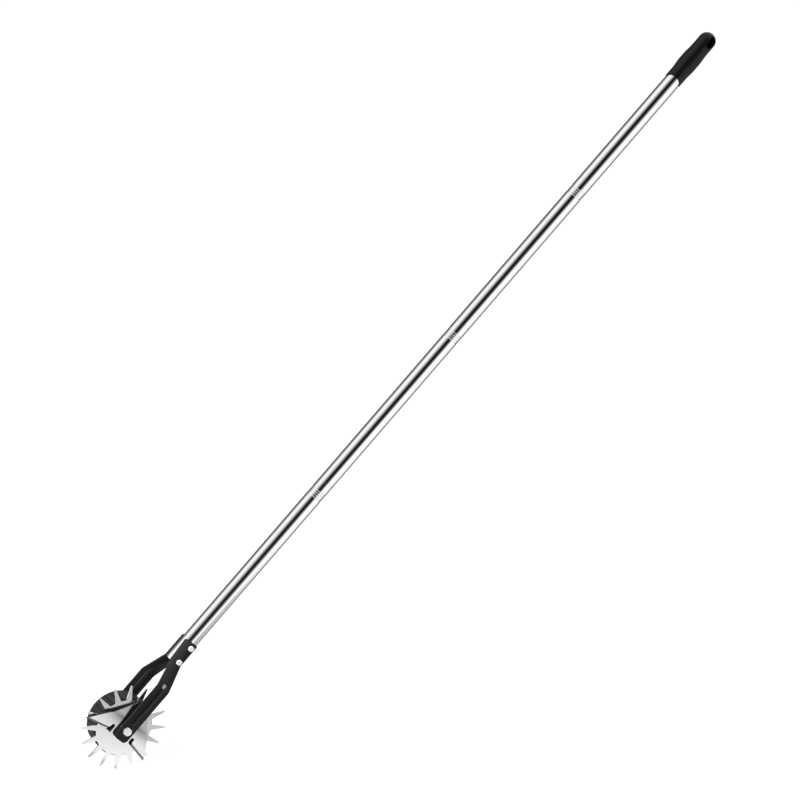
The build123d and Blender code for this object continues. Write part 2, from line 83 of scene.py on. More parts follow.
class NodeGraph:
    """A node tree with short calls that add a node, set its sockets and join it to others."""

    def __init__(self, tree: bpy.types.NodeTree) -> None:
        """Takes the tree that the calls work on."""
        self.tree = tree

    def add(self, kind: str, **sockets: object) -> bpy.types.Node:
        """Adds a node.

        Args:
            kind: the node's type name.
            sockets: values or output sockets for its inputs, by name with spaces as underscores,
                and node properties, by their own names.

        Returns:
            The new node.
        """
        node = self.tree.nodes.new(kind)
        for key, value in sockets.items():
            if hasattr(node, key):
                setattr(node, key, value)
            else:
                self.feed(node, key.replace("_", " "), value)
        return node

    @staticmethod
    def socket(node: bpy.types.Node, name: str) -> bpy.types.NodeSocket:
        """Finds an input socket by its name, or by its number as in0, in1 and so on."""
        numbered = name.startswith("in") and name[2:].isdigit()
        return node.inputs[int(name[2:])] if numbered else node.inputs[name]

    def feed(self, node: bpy.types.Node, name: str, value: object) -> None:
        """Sets an input socket, or joins it if the value is an output socket.

        Args:
            node: the node.
            name: the socket's name, or its number as in0, in1 and so on.
            value: a value or an output socket.
        """
        target = self.socket(node, name)
        if isinstance(value, bpy.types.NodeSocket):
            self.tree.links.new(value, target)
        else:
            target.default_value = value

    def between(self, factor: object, low: object, high: object) -> bpy.types.NodeSocket:
        """Mixes two colours.

        Args:
            factor: value or socket, 0 for low and 1 for high.
            low: colour or socket.
            high: colour or socket.

        Returns:
            The mixed colour's socket.
        """
        node = self.tree.nodes.new("ShaderNodeMix")
        node.data_type = "RGBA"
        for index, value in ((0, factor), (6, low), (7, high)):
            if isinstance(value, bpy.types.NodeSocket):
                self.tree.links.new(value, node.inputs[index])
            else:
                node.inputs[index].default_value = value if index == 0 else (*value, 1.0)
        return node.outputs[2]

    def math(self, operation: str, first: object, second: object = 0.0) -> bpy.types.NodeSocket:
        """Adds a math node.

        Args:
            operation: the node's operation.
            first: value or socket.
            second: value or socket, unused by operations on one value.

        Returns:
            The result's socket.
        """
        node = self.tree.nodes.new("ShaderNodeMath")
        node.operation = operation
        for index, value in enumerate((first, second)):
            self.feed(node, f"in{index}", value)
        return node.outputs[0]

    def ranged(self, value: object, source: Span, target: Span) -> bpy.types.NodeSocket:
        """Maps a value from one span to another and clamps it.

        Args:
            value: value or socket.
            source: the span that the value is in.
            target: the span that it goes to.

        Returns:
            The mapped value's socket.
        """
        node = self.tree.nodes.new("ShaderNodeMapRange")
        for index, number in enumerate((value, *source, *target)):
            self.feed(node, f"in{index}", number)
        return node.outputs[0]


class Effect(Enum):
    """The shared effects, each a shader node group that is built once."""

    GRAIN = "surface_grain"
    LINES = "drawn_lines"
    WEAR = "edge_wear"
    DUST = "settled_dust"


@dataclass(frozen=True)
class EffectLibrary:
    """Builds the shared node groups when they are first asked for."""

    grain_noise: Span = (0.28, 0.72)
    line_noise: Span = (0.3, 0.7)
    wear_lean: Span = (0.99, 0.8)
    wear_noise: Span = (0.4, 0.6)
    dust_upward: Span = (0.1, 0.95)
    dust_cover: Span = (0.15, 1.0)
    dust_noise: Span = (0.35, 0.75)

    def group(self, effect: Effect) -> bpy.types.NodeTree:
        """Finds the node group of an effect, and builds it the first time.

        Args:
            effect: which effect.

        Returns:
            The node group.
        """
        found = bpy.data.node_groups.get(effect.value)
        if found is None:
            found = bpy.data.node_groups.new(effect.value, "ShaderNodeTree")
            builders = {Effect.GRAIN: self._surface_grain, Effect.LINES: self._drawn_lines,
                        Effect.WEAR: self._edge_wear, Effect.DUST: self._settled_dust}
            builders[effect](found)
        return found

    def place(self, graph: NodeGraph, effect: Effect, **inputs: object) -> bpy.types.Node:
        """Puts an effect into a material.

        Args:
            graph: the material's graph.
            effect: which effect.
            inputs: the group's input values or sockets, by name.

        Returns:
            The group node.
        """
        node = graph.tree.nodes.new("ShaderNodeGroup")
        node.node_tree = self.group(effect)
        for name, value in inputs.items():
            graph.feed(node, name.replace("_", " "), value)
        return node

    @staticmethod
    def _sockets(tree: bpy.types.NodeTree, inputs: dict[str, object],
                 outputs: Iterable[str]) -> tuple[NodeGraph, bpy.types.Node, bpy.types.Node]:
        """Makes a group's sockets: a float for a number and a vector for a tuple.

        Args:
            tree: the group's tree.
            inputs: the inputs' names and their values at first.
            outputs: the outputs' names.

        Returns:
            The group's graph, its input node and its output node.
        """
        for name, value in inputs.items():
            kind = "NodeSocketVector" if isinstance(value, tuple) else "NodeSocketFloat"
            tree.interface.new_socket(name, in_out="INPUT", socket_type=kind).default_value = value
        for name in outputs:
            tree.interface.new_socket(name, in_out="OUTPUT", socket_type="NodeSocketFloat")
        graph = NodeGraph(tree)
        return graph, graph.add("NodeGroupInput"), graph.add("NodeGroupOutput")

    def _surface_grain(self, tree: bpy.types.NodeTree) -> None:
        """Builds fractal grain: an even mottle, and the same mapped between two values.

        Args:
            tree: the group's empty tree.
        """
        inputs = {"Vector": (0, 0, 0), "Scale": 100.0, "Detail": 3.0, "Low": 0.0, "High": 1.0}
        graph, given, out = self._sockets(tree, inputs, ("Mottle", "Value"))
        noise = graph.add("ShaderNodeTexNoise", Vector=given.outputs["Vector"],
                          Scale=given.outputs["Scale"], Detail=given.outputs["Detail"])
        mottle = graph.ranged(noise.outputs["Fac"], self.grain_noise, UNIT)
        limits = (given.outputs["Low"], given.outputs["High"])
        graph.feed(out, "Mottle", mottle)
        graph.feed(out, "Value", graph.ranged(mottle, UNIT, limits))

    def _drawn_lines(self, tree: bpy.types.NodeTree) -> None:
        """Builds fine lines that run along Z of the given vector.

        Args:
            tree: the group's empty tree.
        """
        inputs = {"Vector": (0, 0, 0), "Across": 900.0, "Along": 4.0, "Low": 0.0, "High": 1.0}
        graph, given, out = self._sockets(tree, inputs, ("Lines", "Value"))
        stretch = graph.add("ShaderNodeCombineXYZ", X=given.outputs["Across"], Y=given.outputs["Across"],
                            Z=given.outputs["Along"])
        scaled = graph.add("ShaderNodeVectorMath", operation="MULTIPLY", in0=given.outputs["Vector"],
                           in1=stretch.outputs[0])
        noise = graph.add("ShaderNodeTexNoise", Vector=scaled.outputs[0], Scale=1.0, Detail=4.0)
        lines = graph.ranged(noise.outputs["Fac"], self.line_noise, UNIT)
        limits = (given.outputs["Low"], given.outputs["High"])
        graph.feed(out, "Lines", lines)
        graph.feed(out, "Value", graph.ranged(lines, UNIT, limits))

    def _edge_wear(self, tree: bpy.types.NodeTree) -> None:
        """Builds a broken band along edges, where a rounded normal leans from the true one.

        Args:
            tree: the group's empty tree.
        """
        inputs = {"Vector": (0, 0, 0), "Radius": 0.0006, "Breakup": 300.0, "Amount": 1.0}
        graph, given, out = self._sockets(tree, inputs, ("Mask",))
        rounded = graph.add("ShaderNodeBevel", samples=4, Radius=given.outputs["Radius"])
        true = graph.add("ShaderNodeNewGeometry")
        lean = graph.add("ShaderNodeVectorMath", operation="DOT_PRODUCT", in0=rounded.outputs[0],
                         in1=true.outputs["Normal"])
        band = graph.ranged(lean.outputs["Value"], self.wear_lean, UNIT)
        noise = graph.add("ShaderNodeTexNoise", Vector=given.outputs["Vector"],
                          Scale=given.outputs["Breakup"], Detail=3.0)
        broken = graph.math("MULTIPLY", band, graph.ranged(noise.outputs["Fac"], self.wear_noise, UNIT))
        graph.feed(out, "Mask", graph.math("MULTIPLY", broken, given.outputs["Amount"]))

    def _settled_dust(self, tree: bpy.types.NodeTree) -> None:
        """Builds a patchy film on faces that look up.

        Args:
            tree: the group's empty tree.
        """
        inputs = {"Vector": (0, 0, 0), "Scale": 60.0, "Amount": 0.1}
        graph, given, out = self._sockets(tree, inputs, ("Mask",))
        normal = graph.add("ShaderNodeNewGeometry")
        upward = graph.add("ShaderNodeSeparateXYZ", Vector=normal.outputs["Normal"])
        facing = graph.ranged(upward.outputs["Z"], self.dust_upward, self.dust_cover)
        noise = graph.add("ShaderNodeTexNoise", Vector=given.outputs["Vector"],
                          Scale=given.outputs["Scale"], Detail=5.0)
        patch = graph.math("MULTIPLY", facing, graph.ranged(noise.outputs["Fac"], self.dust_noise, UNIT))
        graph.feed(out, "Mask", graph.math("MULTIPLY", patch, given.outputs["Amount"]))


EFFECTS = EffectLibrary()


# Finishes


@dataclass(frozen=True)
class Finish:
    """What every finish has: the slot that it dresses and a way to make its material once."""

    slot: Slot
    grade: str = "main"

    def material(self) -> bpy.types.Material:
        """Finds the finish's material, and builds it the first time.

        Returns:
            The material.
        """
        name = f"finish_{type(self).__name__}_{self.slot.value}_{self.grade}"
        found = bpy.data.materials.get(name)
        if found is None:
            found = bpy.data.materials.new(name)
            found.use_nodes = True
            found.node_tree.nodes.clear()
            graph = NodeGraph(found.node_tree)
            shader = graph.add("ShaderNodeBsdfPrincipled")
            output = graph.add("ShaderNodeOutputMaterial", Surface=shader.outputs[0])
            output.is_active_output = True
            place = graph.add("ShaderNodeTexCoord").outputs["Object"]
            self.paint(graph, shader, place)
        return found

    def paint(self, graph: NodeGraph, shader: bpy.types.Node, place: bpy.types.NodeSocket) -> None:
        """Sets the shader's sockets; each finish has its own."""
        raise NotImplementedError

    @staticmethod
    def bump(graph: NodeGraph, shader: bpy.types.Node, height: bpy.types.NodeSocket,
             strength: float, distance: float) -> None:
        """Feeds a height into the shader's normal."""
        node = graph.add("ShaderNodeBump", Height=height, Strength=strength, Distance=distance)
        graph.feed(shader, "Normal", node.outputs[0])


@dataclass(frozen=True)
class ChromePlate(Finish):
    """Bright chrome over drawn tube: long faint draw lines, a thin haze and a painted dark reflection along
    its limb.
    """

    tint: Colour = (0.97, 0.97, 0.97)
    haze: Colour = (0.90, 0.905, 0.915)
    haze_share: float = 0.35
    limb: Colour = (0.02, 0.02, 0.02)
    lean: float = POLE_LEAN
    smooth: Span = (0.02, 0.05)

    def paint(self, graph: NodeGraph, shader: bpy.types.Node, place: bpy.types.NodeSocket) -> None:
        """Lays draw lines along the pole and a mottled haze over them.

        Args:
            graph: the material's graph.
            shader: its Principled shader.
            place: object coordinates.
        """
        along = graph.add("ShaderNodeMapping", vector_type="POINT", Vector=place,
                          Rotation=(0.0, -math.radians(self.lean), 0.0))
        lines = EFFECTS.place(graph, Effect.LINES, Vector=along.outputs[0], Across=1400.0, Along=3.0)
        grain = EFFECTS.place(graph, Effect.GRAIN, Vector=place, Scale=26.0, Detail=4.0,
                              Low=self.smooth[0], High=self.smooth[1])
        hazy = graph.math("MULTIPLY", lines.outputs["Lines"], self.haze_share)
        graph.feed(shader, "Base Color", graph.between(hazy, self.tint, self.haze))
        graph.feed(shader, "Roughness", grain.outputs["Value"])
        shader.inputs["Metallic"].default_value = 1.0
        # painted reflection: a near-black specular tint darkens the chrome along its limb
        shader.inputs["Specular Tint"].default_value = (*self.limb, 1.0)
        self.bump(graph, shader, lines.outputs["Lines"], strength=0.03, distance=0.0001)


@dataclass(frozen=True)
class PolishedPlate(Finish):
    """Stamped steel polished to a mirror, with fine polishing lines and brighter worn edges."""

    tint: Colour = (0.90, 0.90, 0.905)
    clouded: Colour = (0.80, 0.81, 0.82)
    worn: Colour = (0.97, 0.97, 0.97)
    smooth: Span = (0.07, 0.14)
    bright: float = 0.99

    def paint(self, graph: NodeGraph, shader: bpy.types.Node, place: bpy.types.NodeSocket) -> None:
        """Lays polishing lines up the plate, clouding and bright edges.

        Args:
            graph: the material's graph.
            shader: its Principled shader.
            place: object coordinates.
        """
        lines = EFFECTS.place(graph, Effect.LINES, Vector=place, Across=1100.0, Along=30.0)
        grain = EFFECTS.place(graph, Effect.GRAIN, Vector=place, Scale=45.0, Detail=4.0,
                              Low=self.smooth[0], High=self.smooth[1])
        wear = EFFECTS.place(graph, Effect.WEAR, Vector=place, Radius=0.0005, Breakup=500.0, Amount=0.8)
        body = graph.between(graph.math("MULTIPLY", grain.outputs["Mottle"], lines.outputs["Lines"]),
                             self.tint, self.clouded)
        # painted shade: a finish may darken its colour here, as the plate does along its fold
        body = self.stained(graph, place, body)
        graph.feed(shader, "Base Color", graph.between(wear.outputs["Mask"], body, self.worn))
        graph.feed(shader, "Roughness", grain.outputs["Value"])
        shader.inputs["Metallic"].default_value = self.bright
        self.bump(graph, shader, lines.outputs["Lines"], strength=0.02, distance=0.0001)

    def stained(self, graph: NodeGraph, place: bpy.types.NodeSocket,
                body: bpy.types.NodeSocket) -> bpy.types.NodeSocket:
        """Returns the body's colour as it is; a finish with a band of painted shade lays it here."""
        return body


@dataclass(frozen=True)
class FoldedPlate(PolishedPlate):
    """Polished plate with a band of painted shade along its fold, deepest beside the arm."""

    smoke: Colour = (0.34, 0.34, 0.345)
    axle_height: float = AXLE_HEIGHT
    lean: float = POLE_LEAN
    fold_height: float = 0.0116
    fade_below: float = 0.0130
    fade_above: float = 0.0070
    left_above: float = 0.27
    arm_side: Span = (0.018, 0.040)
    left_far_out: float = 0.55

    def stained(self, graph: NodeGraph, place: bpy.types.NodeSocket,
                body: bpy.types.NodeSocket) -> bpy.types.NodeSocket:
        """Lays the band of painted shade.

        Args:
            graph: the material's graph.
            place: object coordinates.
            body: the polished steel's colour.

        Returns:
            The stained colour's socket.
        """
        turn = math.radians(self.lean)
        axle = (self.axle_height * math.sin(turn), 0.0, -self.axle_height * math.cos(turn))
        upright = graph.add("ShaderNodeMapping", vector_type="POINT", Vector=place, Location=axle,
                            Rotation=(0.0, -turn, 0.0))
        split = graph.add("ShaderNodeSeparateXYZ", Vector=upright.outputs[0])
        height = split.outputs["Z"]
        under = (self.fold_height - self.fade_below, self.fold_height)
        over = (self.fold_height, self.fold_height + self.fade_above)
        below = graph.ranged(height, under, UNIT)
        above = graph.ranged(height, over, (1.0, self.left_above))
        aside = graph.math("ABSOLUTE", split.outputs["X"])
        inward = graph.ranged(aside, self.arm_side, (1.0, self.left_far_out))
        band = graph.math("MULTIPLY", graph.math("MINIMUM", below, above), inward)
        # painted shade: darkens the polished steel along the fold, most beside the arm
        return graph.between(band, body, self.smoke)


@dataclass(frozen=True)
class GroundEdge(Finish):
    """Steel as the grinding wheel leaves it along a cutting edge: scored across the edge, and dark grey in
    part as a painted reflection of shade.
    """

    tint: Colour = (0.26, 0.26, 0.265)
    scored: Colour = (0.15, 0.15, 0.155)
    smooth: Span = (0.28, 0.42)
    lean: float = POLE_LEAN

    def paint(self, graph: NodeGraph, shader: bpy.types.Node, place: bpy.types.NodeSocket) -> None:
        """Lays close grinding marks that run up the tool.

        Args:
            graph: the material's graph.
            shader: its Principled shader.
            place: object coordinates.
        """
        across = graph.add("ShaderNodeMapping", vector_type="POINT", Vector=place,
                           Rotation=(0.0, -math.radians(self.lean), 0.0))
        lines = EFFECTS.place(graph, Effect.LINES, Vector=across.outputs[0], Across=2600.0, Along=60.0,
                              Low=self.smooth[0], High=self.smooth[1])
        # the dark grey tint is in part painted shade, for the dark reflection of the edge
        graph.feed(shader, "Base Color", graph.between(lines.outputs["Lines"], self.tint, self.scored))
        graph.feed(shader, "Roughness", lines.outputs["Value"])
        shader.inputs["Metallic"].default_value = 1.0
        self.bump(graph, shader, lines.outputs["Lines"], strength=0.15, distance=0.0002)


@dataclass(frozen=True)
class RolledSteel(Finish):
    """Dark, dull steel whose colour stands in for light: painted shade on faces that light hardly reaches,
    and a painted glint in its pale grade.
    """

    tint: Colour = (0.035, 0.035, 0.037)
    scaled: Colour = (0.075, 0.073, 0.070)
    smooth: Span = (0.40, 0.58)
    bright: float = 0.7

    def paint(self, graph: NodeGraph, shader: bpy.types.Node, place: bpy.types.NodeSocket) -> None:
        """Lays a patchy scale over faint rolling lines.

        Args:
            graph: the material's graph.
            shader: its Principled shader.
            place: object coordinates.
        """
        lines = EFFECTS.place(graph, Effect.LINES, Vector=place, Across=700.0, Along=25.0)
        grain = EFFECTS.place(graph, Effect.GRAIN, Vector=place, Scale=160.0, Detail=5.0,
                              Low=self.smooth[0], High=self.smooth[1])
        patchy = graph.math("MULTIPLY", grain.outputs["Mottle"], lines.outputs["Lines"])
        graph.feed(shader, "Base Color", graph.between(patchy, self.tint, self.scaled))
        graph.feed(shader, "Roughness", grain.outputs["Value"])
        shader.inputs["Metallic"].default_value = self.bright
        self.bump(graph, shader, grain.outputs["Mottle"], strength=0.08, distance=0.0002)


@dataclass(frozen=True)
class PlatedSteel(Finish):
    """Zinc or turned steel of the small hardware: a satin plate with grain, wear and a film."""

    tint: Colour = (0.96, 0.96, 0.965)
    dull: Colour = (0.88, 0.885, 0.90)
    worn: Colour = (0.98, 0.98, 0.98)
    smooth: Span = (0.16, 0.28)
    bright: float = 1.0

    def paint(self, graph: NodeGraph, shader: bpy.types.Node, place: bpy.types.NodeSocket) -> None:
        """Lays a spangled plate with brighter edges and a faint film.

        Args:
            graph: the material's graph.
            shader: its Principled shader.
            place: object coordinates.
        """
        grain = EFFECTS.place(graph, Effect.GRAIN, Vector=place, Scale=420.0, Detail=4.0,
                              Low=self.smooth[0], High=self.smooth[1])
        wear = EFFECTS.place(graph, Effect.WEAR, Vector=place, Radius=0.0004, Breakup=600.0, Amount=0.9)
        dust = EFFECTS.place(graph, Effect.DUST, Vector=place, Scale=140.0, Amount=0.15)
        body = graph.between(grain.outputs["Mottle"], self.tint, self.dull)
        body = graph.between(dust.outputs["Mask"], body, self.dull)
        graph.feed(shader, "Base Color", graph.between(wear.outputs["Mask"], body, self.worn))
        graph.feed(shader, "Roughness", grain.outputs["Value"])
        shader.inputs["Metallic"].default_value = self.bright
        self.bump(graph, shader, grain.outputs["Mottle"], strength=0.05, distance=0.0001)


@dataclass(frozen=True)
class StovedEnamel(Finish):
    """Black stoved enamel over pressed steel: satin, faint orange peel, thin on the edges, whose paleness
    is part wear and part painted highlight.
    """

    tint: Colour = (0.009, 0.009, 0.0095)
    lifted: Colour = (0.014, 0.014, 0.0145)
    worn: Colour = (0.025, 0.025, 0.0265)
    smooth: Span = (0.22, 0.34)
    gloss: float = 0.08

    def paint(self, graph: NodeGraph, shader: bpy.types.Node, place: bpy.types.NodeSocket) -> None:
        """Lays the enamel with its peel and paler edges, part wear and part painted highlight.

        Args:
            graph: the material's graph.
            shader: its Principled shader.
            place: object coordinates.
        """
        peel = EFFECTS.place(graph, Effect.GRAIN, Vector=place, Scale=700.0, Detail=2.0,
                             Low=self.smooth[0], High=self.smooth[1])
        wear = EFFECTS.place(graph, Effect.WEAR, Vector=place, Radius=0.0006, Breakup=350.0, Amount=0.5)
        dust = EFFECTS.place(graph, Effect.DUST, Vector=place, Scale=90.0, Amount=0.2)
        body = graph.between(peel.outputs["Mottle"], self.tint, self.lifted)
        body = graph.between(dust.outputs["Mask"], body, self.worn)
        # paler edges: part wear, part painted edge highlight
        graph.feed(shader, "Base Color", graph.between(wear.outputs["Mask"], body, self.worn))
        graph.feed(shader, "Roughness", peel.outputs["Value"])
        shader.inputs["Specular IOR Level"].default_value = self.gloss
        self.bump(graph, shader, peel.outputs["Mottle"], strength=0.06, distance=0.0002)


@dataclass(frozen=True)
class MouldedRubber(Finish):
    """Black moulded rubber: dull, fine pitted skin, dark in its grooves, greyer where it rubs."""

    tint: Colour = (0.004, 0.004, 0.004)
    bloom: Colour = (0.0085, 0.0085, 0.009)
    worn: Colour = (0.045, 0.045, 0.045)
    smooth: Span = (0.45, 0.65)
    gloss: float = 0.2
    axle_height: float = AXLE_HEIGHT
    tread: Span = (0.0457, 0.0469)

    def paint(self, graph: NodeGraph, shader: bpy.types.Node, place: bpy.types.NodeSocket) -> None:
        """Lays a pitted skin, paler on the tread and where edges rub.

        Args:
            graph: the material's graph.
            shader: its Principled shader.
            place: object coordinates.
        """
        skin = EFFECTS.place(graph, Effect.GRAIN, Vector=place, Scale=900.0, Detail=3.0,
                             Low=self.smooth[0], High=self.smooth[1])
        broad = EFFECTS.place(graph, Effect.GRAIN, Vector=place, Scale=70.0, Detail=3.0, Low=0.7, High=1.0)
        wear = EFFECTS.place(graph, Effect.WEAR, Vector=place, Radius=0.0007, Breakup=250.0, Amount=0.5)
        flat = graph.add("ShaderNodeVectorMath", operation="MULTIPLY", in0=place, in1=(1.0, 0.0, 1.0))
        reach = graph.add("ShaderNodeVectorMath", operation="DISTANCE", in0=flat.outputs[0],
                          in1=(0.0, 0.0, self.axle_height))
        tread = graph.ranged(reach.outputs["Value"], self.tread, UNIT)
        body = graph.between(graph.math("MULTIPLY", tread, broad.outputs["Value"]), self.tint, self.bloom)
        graph.feed(shader, "Base Color", graph.between(wear.outputs["Mask"], body, self.worn))
        graph.feed(shader, "Roughness", skin.outputs["Value"])
        shader.inputs["Specular IOR Level"].default_value = self.gloss
        self.bump(graph, shader, skin.outputs["Mottle"], strength=0.25, distance=0.0002)


@dataclass(frozen=True)
class MouldedNylon(Finish):
    """Cream moulded nylon: waxy, slightly clouded, grubby in patches."""

    tint: Colour = (0.62, 0.53, 0.40)
    clouded: Colour = (0.52, 0.43, 0.31)
    worn: Colour = (0.74, 0.67, 0.56)
    smooth: Span = (0.28, 0.42)
    depth_share: float = 0.1
    depth: Colour = (0.004, 0.003, 0.002)

    def paint(self, graph: NodeGraph, shader: bpy.types.Node, place: bpy.types.NodeSocket) -> None:
        """Lays a clouded, waxy body with a fine skin.

        Args:
            graph: the material's graph.
            shader: its Principled shader.
            place: object coordinates.
        """
        cloud = EFFECTS.place(graph, Effect.GRAIN, Vector=place, Scale=55.0, Detail=4.0)
        skin = EFFECTS.place(graph, Effect.GRAIN, Vector=place, Scale=800.0, Detail=2.0,
                             Low=self.smooth[0], High=self.smooth[1])
        wear = EFFECTS.place(graph, Effect.WEAR, Vector=place, Radius=0.0006, Breakup=300.0, Amount=0.6)
        body = graph.between(cloud.outputs["Mottle"], self.tint, self.clouded)
        graph.feed(shader, "Base Color", graph.between(wear.outputs["Mask"], body, self.worn))
        graph.feed(shader, "Roughness", skin.outputs["Value"])
        shader.inputs["Subsurface Weight"].default_value = self.depth_share
        shader.inputs["Subsurface Radius"].default_value = self.depth
        self.bump(graph, shader, skin.outputs["Mottle"], strength=0.08, distance=0.0001)


@dataclass(frozen=True)
class MouldedPlastic(Finish):
    """Black moulded plastic of the grip: fine spark texture, paler where a hand rubs it."""

    tint: Colour = (0.0008, 0.0008, 0.0008)
    lifted: Colour = (0.002, 0.002, 0.0022)
    worn: Colour = (0.014, 0.014, 0.014)
    smooth: Span = (0.22, 0.34)
    gloss: float = 0.27

    def paint(self, graph: NodeGraph, shader: bpy.types.Node, place: bpy.types.NodeSocket) -> None:
        """Lays the spark texture with rubbed edges.

        Args:
            graph: the material's graph.
            shader: its Principled shader.
            Lays the spark texture with worn edges.
        """
        spark = EFFECTS.place(graph, Effect.GRAIN, Vector=place, Scale=1300.0, Detail=2.0,
                              Low=self.smooth[0], High=self.smooth[1])
        wear = EFFECTS.place(graph, Effect.WEAR, Vector=place, Radius=0.0007, Breakup=300.0, Amount=0.5)
        body = graph.between(spark.outputs["Mottle"], self.tint, self.lifted)
        graph.feed(shader, "Base Color", graph.between(wear.outputs["Mask"], body, self.worn))
        graph.feed(shader, "Roughness", spark.outputs["Value"])
        shader.inputs["Specular IOR Level"].default_value = self.gloss
        self.bump(graph, shader, spark.outputs["Mottle"], strength=0.2, distance=0.0002)


CHROME = ChromePlate(Slot.CHROME)
BLADE_STEEL = PolishedPlate(Slot.BLADE)
# the shear plate's polished steel, with a band of painted shade along its fold
PLATE_STEEL = FoldedPlate(Slot.BLADE)
GROUND_SHADED_STEEL = GroundEdge(Slot.BLADE)
# dark steel for painted shade on the star's notch floors and the plate's back
PAINTED_SHADE_STEEL = RolledSteel(Slot.BLADE)
# duller, darker steel for painted shade on the star's back
PAINTED_SHADE_BACK_STEEL = RolledSteel(Slot.BLADE, "dull", tint=(0.36, 0.36, 0.37), scaled=(0.24, 0.24, 0.245),
                         smooth=(0.30, 0.45), bright=0.95)
ZINC = PlatedSteel(Slot.ZINC, bright=0.64)
AXLE_ZINC = PlatedSteel(Slot.ZINC, "axle", bright=0.84)
BEARING_STEEL = PlatedSteel(Slot.BEARING, tint=(0.86, 0.85, 0.83), dull=(0.72, 0.70, 0.67),
                            smooth=(0.07, 0.15))
TURNED_STEEL = PlatedSteel(Slot.TURNED, tint=(0.78, 0.78, 0.79), dull=(0.60, 0.60, 0.62),
                           smooth=(0.2, 0.34))
ENAMEL = StovedEnamel(Slot.ENAMEL)
# pale steel for the rib's floor above the bend: a painted glint
PAINTED_GLINT_STEEL = RolledSteel(Slot.ENAMEL, "rubbed", tint=(0.46, 0.46, 0.47), scaled=(0.30, 0.30, 0.305),
                           smooth=(0.30, 0.45), bright=0.9)
RUBBER = MouldedRubber(Slot.RUBBER)
NYLON = MouldedNylon(Slot.NYLON)
PLASTIC = MouldedPlastic(Slot.PLASTIC)
# near-black, matt plastic for the hang slot's walls: painted shade in the recess
PAINTED_SHADE_PLASTIC = MouldedPlastic(Slot.PLASTIC, "cored", tint=(0.001, 0.001, 0.001),
                               lifted=(0.002, 0.002, 0.002), worn=(0.004, 0.004, 0.004),
                               smooth=(0.6, 0.75), gloss=0.03)


# Sub-assemblies


@dataclass
class WorkingPose:
    """Where the tool stands: the axle's height over the ground and the lean of its pole."""

    axle_height: float = AXLE_HEIGHT
    lean: float = POLE_LEAN

    @property
    def matrix(self) -> Matrix:
        """Takes the upright tool, axle at the origin, to where it stands."""
        lifted = Matrix.Translation((0.0, 0.0, self.axle_height))
        return lifted @ Matrix.Rotation(math.radians(self.lean), 4, "Y")

    @property
    def upright(self) -> Matrix:
        """Takes the tool from where it stands back upright, axle at the origin."""
        return self.matrix.inverted()


@dataclass
class SubAssembly:
    """Named CAD nodes, and worked copies that stand for some of them, that belong together."""

    pose: WorkingPose = field(default_factory=WorkingPose)
    merge_distance: float = 2e-6
    flat_angle: float = 0.5
    sharp_angle: float = 30.0
    broken_angle: float = 28.0
    broken_segments: int = 2

    def dress(self, finish: Finish, *names: str) -> None:
        """Gives CAD nodes a finish.

        Args:
            finish: the finish.
            names: the nodes' names.
        """
        for name in names:
            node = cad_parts[name]
            node.data.materials.clear()
            node.data.materials.append(finish.material())
            LOG.info("%s dressed as %s", name, finish.slot.value)

    def copied(self, node: str) -> bmesh.types.BMesh:
        """Copies a CAD node's mesh, merges it and joins its flat faces.

        Args:
            node: the CAD node's name.

        Returns:
            The copy.
        """
        bm = bmesh.new()
        bm.from_mesh(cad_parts[node].data)
        bmesh.ops.remove_doubles(bm, verts=bm.verts, dist=self.merge_distance)
        bmesh.ops.dissolve_limit(bm, angle_limit=math.radians(self.flat_angle), verts=bm.verts,
                                 edges=bm.edges)
        return bm

    def stand_in(self, node: str, bm: bmesh.types.BMesh, finish: Finish, body: Body,
                 width: float) -> bpy.types.Object:
        """Stands a worked copy of a CAD node, its edges broken by a small bevel, for the node.

        Args:
            node: the CAD node's name.
            bm: the copy, which is freed.
            finish: what it is made of.
            body: the body that it moves with.
            width: the bevel's width in metres.

        Returns:
            The new object, at the origin.
        """
        mesh = bpy.data.meshes.new(f"{node}_finished")
        bm.to_mesh(mesh)
        bm.free()
        mesh.shade_smooth()
        mesh.set_sharp_from_angle(angle=math.radians(self.sharp_angle))
        mesh.materials.append(finish.material())
        thing = bpy.data.objects.new(mesh.name, mesh)
        bpy.context.scene.collection.objects.link(thing)
        edge = thing.modifiers.new("broken_edges", "BEVEL")
        edge.width = width
        edge.segments = self.broken_segments
        edge.limit_method = "ANGLE"
        edge.angle_limit = math.radians(self.broken_angle)
        edge.harden_normals = True
        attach(thing, body.value)
        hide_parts(node)
        LOG.info("%s: %d faces, stands for %s", thing.name, len(mesh.polygons), node)
        return thing

    @staticmethod
    def refinish(thing: bpy.types.Object, finish: Finish, chosen: Iterable[bpy.types.MeshPolygon]) -> None:
        """Gives some faces of a piece a finish of their own.

        Args:
            thing: the piece.
            finish: the faces' finish.
            chosen: the faces.
        """
        thing.data.materials.append(finish.material())
        count = 0
        for count, face in enumerate(chosen, 1):
            face.material_index = len(thing.data.materials) - 1
        LOG.info("%d faces of %s refinished", count, thing.name)


